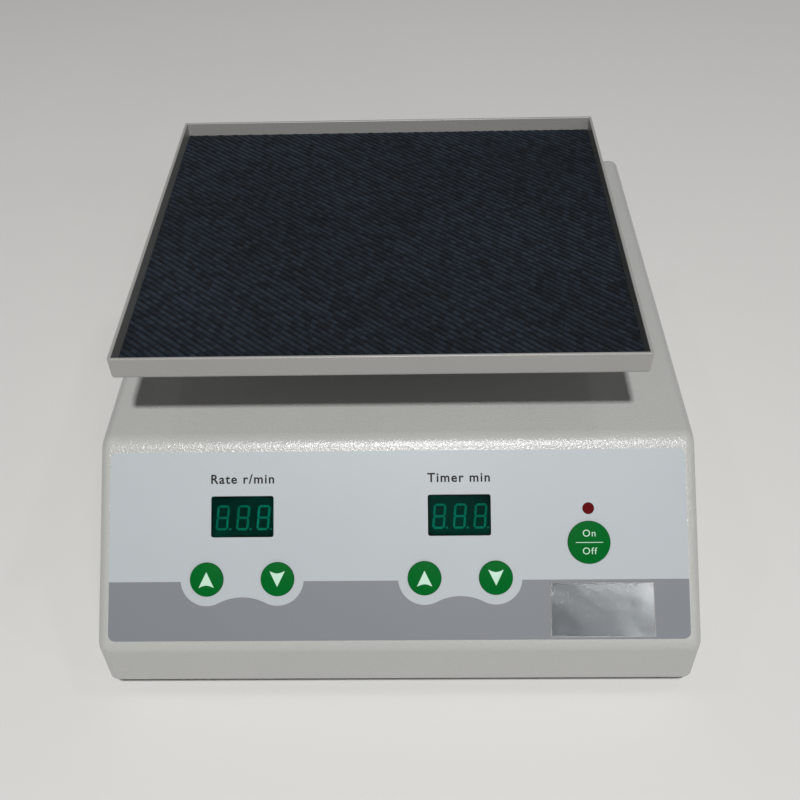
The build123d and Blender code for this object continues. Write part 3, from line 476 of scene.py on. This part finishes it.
def text_mesh(name, words, cap_height, thickness, place, spacing, weight=0.0):
    """Words as a flat solid, centred on place."""
    curve = bpy.data.curves.new(name, "FONT")
    curve.body = words
    curve.size = cap_height * MM / CAPITAL_SHARE
    curve.extrude = thickness * MM / 2
    curve.align_x = "CENTER"
    curve.align_y = "CENTER"
    curve.space_character = spacing
    curve.offset = cap_height * MM * weight
    lift = Matrix.Translation((0, 0, thickness * MM / 2))
    return curve_to_mesh(name, curve, place @ lift)


def settle_on_dome(mesh, place, dome_radius):
    """Bends a flat solid to a domed key: each point drops as the dome does at its distance, once
    the long edges are cut in four."""
    longest_edge = 0.7
    work = bmesh.new()
    work.from_mesh(mesh)
    work.transform(place.inverted())
    bmesh.ops.triangulate(work, faces=work.faces)
    long_edges = [e for e in work.edges if e.calc_length() > longest_edge * MM]
    bmesh.ops.subdivide_edges(work, edges=long_edges, cuts=3, use_grid_fill=True)
    for v in work.verts:
        v.co.z -= (v.co.x ** 2 + v.co.y ** 2) / (2 * dome_radius * MM)
    work.transform(place)
    work.to_mesh(mesh)
    work.free()


def arc(centre, radius, start, end, steps=20):
    """Points along an arc, angles in radians."""
    angles = [start + (end - start) * i / steps for i in range(steps + 1)]
    return [(centre[0] + radius * cos(a), centre[1] + radius * sin(a)) for a in angles]


def open_ring(radius):
    """Points round a circle that stops just short of its start."""
    return arc((0, 0), radius, 0, 1.95 * pi, 32)


def oblong(width, height):
    """The corners of a rectangle round the origin."""
    x, y = width / 2, height / 2
    return [(-x, -y), (x, -y), (x, y), (-x, y)]


# The keypad's print
def scallop(left_key, right_key):
    """The white dip round a pair of keys: two arcs joined by a wave, from left to right."""
    middle = (left_key.x + right_key.x) / 2
    half = (right_key.x - left_key.x) / 2
    rise = left_key.y
    wave_radius = ((half ** 2 + WAVE_DROP ** 2 - SCALLOP_RADIUS ** 2)
                   / (2 * (SCALLOP_RADIUS - WAVE_DROP)))
    wave_centre = (middle, rise - WAVE_DROP - wave_radius)
    join = atan2(wave_centre[1] - rise, half)
    begin = -pi - atan2(BAND_TOP - rise, sqrt(SCALLOP_RADIUS ** 2 - (BAND_TOP - rise) ** 2))
    left = arc((left_key.x, rise), SCALLOP_RADIUS, begin, join)
    wave = arc(wave_centre, wave_radius, pi + join, -join)
    right = arc((right_key.x, rise), SCALLOP_RADIUS, -pi - join, -pi - begin)
    return left + wave[1:-1] + right


def band_outline():
    """The grey lower band of the print."""
    low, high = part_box("panel_film")
    half = (high.x - low.x) / 2 / MM
    inner = half - BAND_CORNER
    bottom = (arc((-inner, BAND_CORNER), BAND_CORNER, pi, 1.5 * pi, 8)
              + arc((inner, BAND_CORNER), BAND_CORNER, 1.5 * pi, 2 * pi, 8))
    pairs = [("speed_up_key", "speed_down_key"), ("time_up_key", "time_down_key")]
    dips = [scallop(keypad_spot(a), keypad_spot(b)) for a, b in pairs]
    top = [(-half, BAND_TOP)] + dips[0] + dips[1] + [(half, BAND_TOP)]
    return bottom + top[::-1]


def keypad_print():
    """The grey band, and a word or two over each window."""
    band = outline_mesh("band_print", [band_outline()], PRINT_THICKNESS, KEYPAD)
    add_piece("band_print", band, grey_print, "housing")
    for name, words, window in (("caption_rate", "Rate r/min", "speed_window"),
                                ("caption_timer", "Timer min", "time_window")):
        spot = keypad_spot(window)
        top = (reach(window, UPWARD)[1] - FILM_LOW) / MM
        place = KEYPAD @ Matrix.Translation(Vector((spot.x, top + CAPTION_GAP, 0)) * MM)
        mesh = text_mesh(name, words, CAPTION_HEIGHT, PRINT_THICKNESS, place, CAPTION_SPACING,
                         CAPTION_WEIGHT)
        add_piece(name, mesh, dark_print, "housing")


def key_dome_radius(node):
    """The radius of a key's dome, from the height of its rim and its middle."""
    near_middle = 2
    same_height = 0.02
    spot = keypad_spot(node)
    points = [(KEYPAD.inverted() @ v.co) / MM for v in frame["nodes"][node].data.vertices]
    rim = max((p for p in points if (p.xy - spot.xy).length > near_middle),
              key=lambda p: (p.z, p.xy.length))
    width = max((p.xy - spot.xy).length for p in points if abs(p.z - rim.z) < same_height)
    return (width ** 2 + (spot.z - rim.z) ** 2) / (2 * (spot.z - rim.z))


def key_arrows():
    """An arrow on each of the four small keys."""
    half = ARROW_WIDTH / 2
    low = ARROW_TIP_RISE - ARROW_HEIGHT
    bend_x = half * NOTCH_BEND[0]
    bend_y = low + ARROW_NOTCH * NOTCH_BEND[1]
    arrow = [(0, ARROW_TIP_RISE), (half, low), (bend_x, bend_y), (0, low + ARROW_NOTCH),
             (-bend_x, bend_y), (-half, low)]
    for node in ("speed_up_key", "speed_down_key", "time_up_key", "time_down_key"):
        turn = Matrix.Rotation(pi if "down" in node else 0, 4, "Z")
        place = KEYPAD @ Matrix.Translation(keypad_spot(node) * MM)
        mesh = outline_mesh(node.replace("key", "arrow"), [arrow], KEY_INK_THICKNESS, place @ turn)
        settle_on_dome(mesh, place, key_dome_radius(node))
        add_piece(mesh.name, mesh, pale_print, node)


def run_key_words():
    """Two words with a line between them on the large key."""
    node = "start_stop_key"
    middle = KEYPAD @ Matrix.Translation(keypad_spot(node) * MM)
    line = oblong(KEY_LINE_LENGTH, KEY_LINE_WIDTH)
    pieces = {"run_key_line": outline_mesh("run_key_line", [line], KEY_INK_THICKNESS, middle)}
    for name, word, rise in (("run_key_on", "On", KEY_WORD_RISE),
                             ("run_key_off", "Off", -KEY_WORD_RISE)):
        place = middle @ Matrix.Translation((0, rise * MM, 0))
        pieces[name] = text_mesh(name, word, KEY_WORD_HEIGHT, KEY_INK_THICKNESS, place,
                                 KEY_WORD_SPACING)
    dome_radius = key_dome_radius(node)
    for name, mesh in pieces.items():
        settle_on_dome(mesh, middle, dome_radius)
        add_piece(name, mesh, pale_print, node)


# Digits
def segment(length, x, y, upright):
    """One pointed bar of a digit."""
    thin = DIGIT_STROKE / 2
    half = length / 2
    bar = [(-half, 0), (-half + thin, thin), (half - thin, thin),
           (half, 0), (half - thin, -thin), (-half + thin, -thin)]
    return [(x - b, y + a) if upright else (x + a, y + b) for a, b in bar]


def digit_outlines(middle_x, middle_y):
    """The seven bars and the point of one digit, leaning to the right."""
    across = DIGIT_WIDTH - DIGIT_STROKE
    tall = (DIGIT_HEIGHT - DIGIT_STROKE) / 2
    bars = [segment(across - BAR_GAP, 0, level * tall, False) for level in (-1, 0, 1)]
    bars += [segment(tall - BAR_GAP, side * across / 2, level * tall / 2, True)
             for side in (-1, 1) for level in (-1, 1)]
    foot = (DIGIT_STROKE - DIGIT_HEIGHT) / 2
    bars.append(arc((across / 2 + POINT_OFFSET, foot), POINT_RADIUS, 0, 1.9 * pi, 10))
    return [[(middle_x + x + y * tan(DIGIT_SLANT), middle_y + y) for x, y in bar] for bar in bars]


def display_digits():
    """Three unlit digits on the face of each display."""
    for node in ("speed_display", "time_display"):
        place = KEYPAD @ Matrix.Translation(keypad_spot(node) * MM)
        bars = []
        for i in (-1, 0, 1):
            bars += digit_outlines(i * DIGIT_PITCH + DIGIT_SHIFT[0], DIGIT_SHIFT[1])
        name = node.replace("display", "digits")
        mesh = outline_mesh(name, bars, DIGIT_THICKNESS, place)
        add_piece(name, mesh, unlit_segment, "housing")


# The clear film on the print
def label_height(x, y, half_x, half_y):
    """How high the clear film lies at a point: its ripples, and its lower and upper edges, which
    curl up more and more from the middle of its left half to the right."""
    ripple = noise.noise(Vector((x, y * RIPPLE_SQUEEZE, RIPPLE_SLICE)) / RIPPLE_LENGTH)
    edge = max(0, (abs(y) / half_y - 1 + CURLED_SHARE) / CURLED_SHARE)
    rightward = max(0, 0.5 + x / half_x)
    return LABEL_LIFT + RIPPLE_HEIGHT * ripple + CURL_HEIGHT * edge * rightward


def rippled_label():
    """A thin clear sheet that doesn't lie quite flat: low ripples, and edges a little raised."""
    spot = keypad_spot("clear_label")
    half_x, half_y = ((high - low) / 2 / MM for low, high in
                      (reach("clear_label", ACROSS), reach("clear_label", UPWARD)))
    work = bmesh.new()
    for j in range(LABEL_ROWS + 1):
        for i in range(LABEL_COLUMNS + 1):
            x = half_x * (2 * i / LABEL_COLUMNS - 1)
            y = half_y * (2 * j / LABEL_ROWS - 1)
            work.verts.new((x * MM, y * MM, label_height(x, y, half_x, half_y) * MM))
    work.verts.ensure_lookup_table()
    wide = LABEL_COLUMNS + 1
    for j in range(LABEL_ROWS):
        for i in range(LABEL_COLUMNS):
            a = j * wide + i
            work.faces.new([work.verts[k] for k in (a, a + 1, a + wide + 1, a + wide)])
    # A second skin in the same place backs the sheet, which has no thickness here
    bmesh.ops.solidify(work, geom=list(work.faces), thickness=0)
    bmesh.ops.recalc_face_normals(work, faces=work.faces)
    mesh = bpy.data.meshes.new("rippled_label")
    work.to_mesh(mesh)
    work.free()
    mesh.transform(KEYPAD @ Matrix.Translation(Vector((spot.x, spot.y, 0)) * MM))
    for face in mesh.polygons:
        face.use_smooth = True
    label = add_piece("rippled_label", mesh, FINISHES["clear_film"], "housing")
    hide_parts("clear_label")


# The mat
def rib_lines(work, size):
    """Rows of points along the twill's ribs, a little past the mat's edges. The relief fades out
    near the edges, and each point keeps its height on its rib, from which the cloth takes its
    painted shade between the ribs and its painted light on their tops."""
    rib_height = work.verts.layers.float.new("rib_height")
    reach_out = sqrt(size.x ** 2 + size.y ** 2) / 2 + RIB_PITCH
    count = int(reach_out / RIB_PITCH) + 1
    lines = []
    for number in range(-count, count):
        for share, height in RIB_SECTION:
            line = []
            across = (number + share) * RIB_PITCH
            for i in range(RIB_STEPS + 1):
                along = reach_out * (2 * i / RIB_STEPS - 1)
                waved = across + WAVE_SIZE * noise.noise(Vector((along, across, 0)) / WAVE_LENGTH)
                dip = DIP_SHARE * noise.noise(Vector((along, across, 9)) / DIP_LENGTH)
                x = along * cos(RIB_ANGLE) - waved * sin(RIB_ANGLE)
                y = along * sin(RIB_ANGLE) + waved * cos(RIB_ANGLE)
                inward = min(size.x / 2 - abs(x), size.y / 2 - abs(y)) / FLAT_BORDER
                relief = height * (1 - dip) * max(0, min(1, inward))
                z = size.z / 2 - RIB_HEIGHT * (1 - relief)
                point = work.verts.new((x * MM, y * MM, z * MM))
                # Squared, so that the painted shade between the ribs is broad
                point[rib_height] = height * height * (1 - dip)
                line.append(point)
            lines.append(line)
    return lines


def twill_mat():
    """The mat's twill: slightly wavy diagonal ribs, cut square at the mat's edges."""
    low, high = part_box("mat")
    middle = (low + high) / 2
    size = (high - low) / MM
    work = bmesh.new()
    lines = rib_lines(work, size)
    for a, b in zip(lines, lines[1:]):
        for i in range(RIB_STEPS):
            work.faces.new((a[i], a[i + 1], b[i + 1], b[i]))
    for axis, half in ((Vector((1, 0, 0)), size.x / 2), (Vector((0, 1, 0)), size.y / 2)):
        for side in (-1, 1):
            bmesh.ops.bisect_plane(work, geom=work.verts[:] + work.edges[:] + work.faces[:],
                                   plane_co=axis * side * half * MM, plane_no=axis * side,
                                   clear_outer=True)
    rim = [e for e in work.edges if e.is_boundary]
    walls = bmesh.ops.extrude_edge_only(work, edges=rim)["geom"]
    for v in (g for g in walls if isinstance(g, bmesh.types.BMVert)):
        v.co.z = -size.z / 2 * MM
    bmesh.ops.edgeloop_fill(work, edges=[e for e in work.edges if e.is_boundary])
    bmesh.ops.recalc_face_normals(work, faces=work.faces)
    mesh = bpy.data.meshes.new("twill_mat")
    work.to_mesh(mesh)
    work.free()
    mesh.transform(Matrix.Translation(middle))
    mat = add_piece("twill_mat", mesh, FINISHES["mat_fabric"], "platform")
    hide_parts("mat")


# Marks on the power switch
def switch_marks():
    """A line on the upper half of the rocker and a ring on the lower half, in white ink."""
    tilt_joint = joint("power_rocker_tilt")
    pivot = Matrix.Translation(Vector(tilt_joint["pos_m"]))
    tilt = radians(tilt_joint["range_deg"][1] / 2)
    upright = turned_frame((-1, 0, 0), (0, 0, 1), (0, 1, 0), (0, 0, 0))
    line = [oblong(MARK_LINE_WIDTH, MARK_LINE_LENGTH)]
    ring = [open_ring(MARK_RING_RADIUS), open_ring(MARK_RING_HOLE)]
    for name, side, outlines in (("mark_on", 1, line), ("mark_off", -1, ring)):
        face = Matrix.Translation((0, MARK_OUT * MM, side * MARK_RISE * MM))
        lean = Matrix.Rotation(-side * ROCKER_LEAN, 4, "X")
        place = pivot @ Matrix.Rotation(-tilt, 4, "X") @ face @ lean @ upright
        mesh = outline_mesh(name, outlines, SWITCH_INK_THICKNESS, place)
        add_piece(name, mesh, mark_ink, "power_rocker")


# Floor, light and camera
def studio_floor():
    """A wide pale floor under the object."""
    mesh = bpy.data.meshes.new("floor")
    work = bmesh.new()
    bmesh.ops.create_grid(work, x_segments=1, y_segments=1, size=FLOOR_HALF_WIDTH)
    work.to_mesh(mesh)
    work.free()
    floor = bpy.data.objects.new("floor", mesh)
    bpy.context.scene.collection.objects.link(floor)
    dress(floor, pale_floor())


def studio_light():
    """An even light all round, one small lamp high in front, and weak ones that draw the sparks on
    the bends."""
    world = bpy.data.worlds.new("studio")
    bpy.context.scene.world = world
    world.use_nodes = True
    background = world.node_tree.nodes["Background"]
    background.inputs["Color"].default_value = linear("#FFFFFF")
    background.inputs["Strength"].default_value = EVEN_LIGHT
    target = sum(cad_bounds, Vector()) / 2
    for name, direction, side, power in LAMPS:
        light = bpy.data.lights.new(name, "AREA")
        light.shape = "SQUARE"
        light.size = side
        light.energy = power
        lamp = bpy.data.objects.new(name, light)
        away = Vector(direction).normalized()
        lamp.location = target + away * LAMP_DISTANCE
        lamp.rotation_euler = away.to_track_quat("Z", "Y").to_euler()
        bpy.context.scene.collection.objects.link(lamp)
    bpy.context.scene.view_settings.view_transform = "Standard"


def camera():
    """The photograph's view: near the front, 44 degrees above, turned and rolled a little."""
    forward = Vector((sin(CAMERA_YAW) * cos(CAMERA_PITCH), cos(CAMERA_YAW) * cos(CAMERA_PITCH),
                      -sin(CAMERA_PITCH)))
    level = Vector((cos(CAMERA_YAW), -sin(CAMERA_YAW), 0))
    down = forward.cross(level)
    right = level * cos(CAMERA_ROLL) + down * sin(CAMERA_ROLL)
    up = level * sin(CAMERA_ROLL) - down * cos(CAMERA_ROLL)
    data = bpy.data.cameras.new("camera")
    data.lens = LENS
    data.clip_start = 0.01
    obj = bpy.data.objects.new("camera", data)
    obj.matrix_world = turned_frame(right, up, -forward, Vector(EYE) * MM)
    bpy.context.scene.collection.objects.link(obj)
    bpy.context.scene.camera = obj


camera()
studio_floor()
studio_light()
dress_cad_nodes()
keypad_print()
key_arrows()
run_key_words()
display_digits()
rippled_label()
twill_mat()
switch_marks()
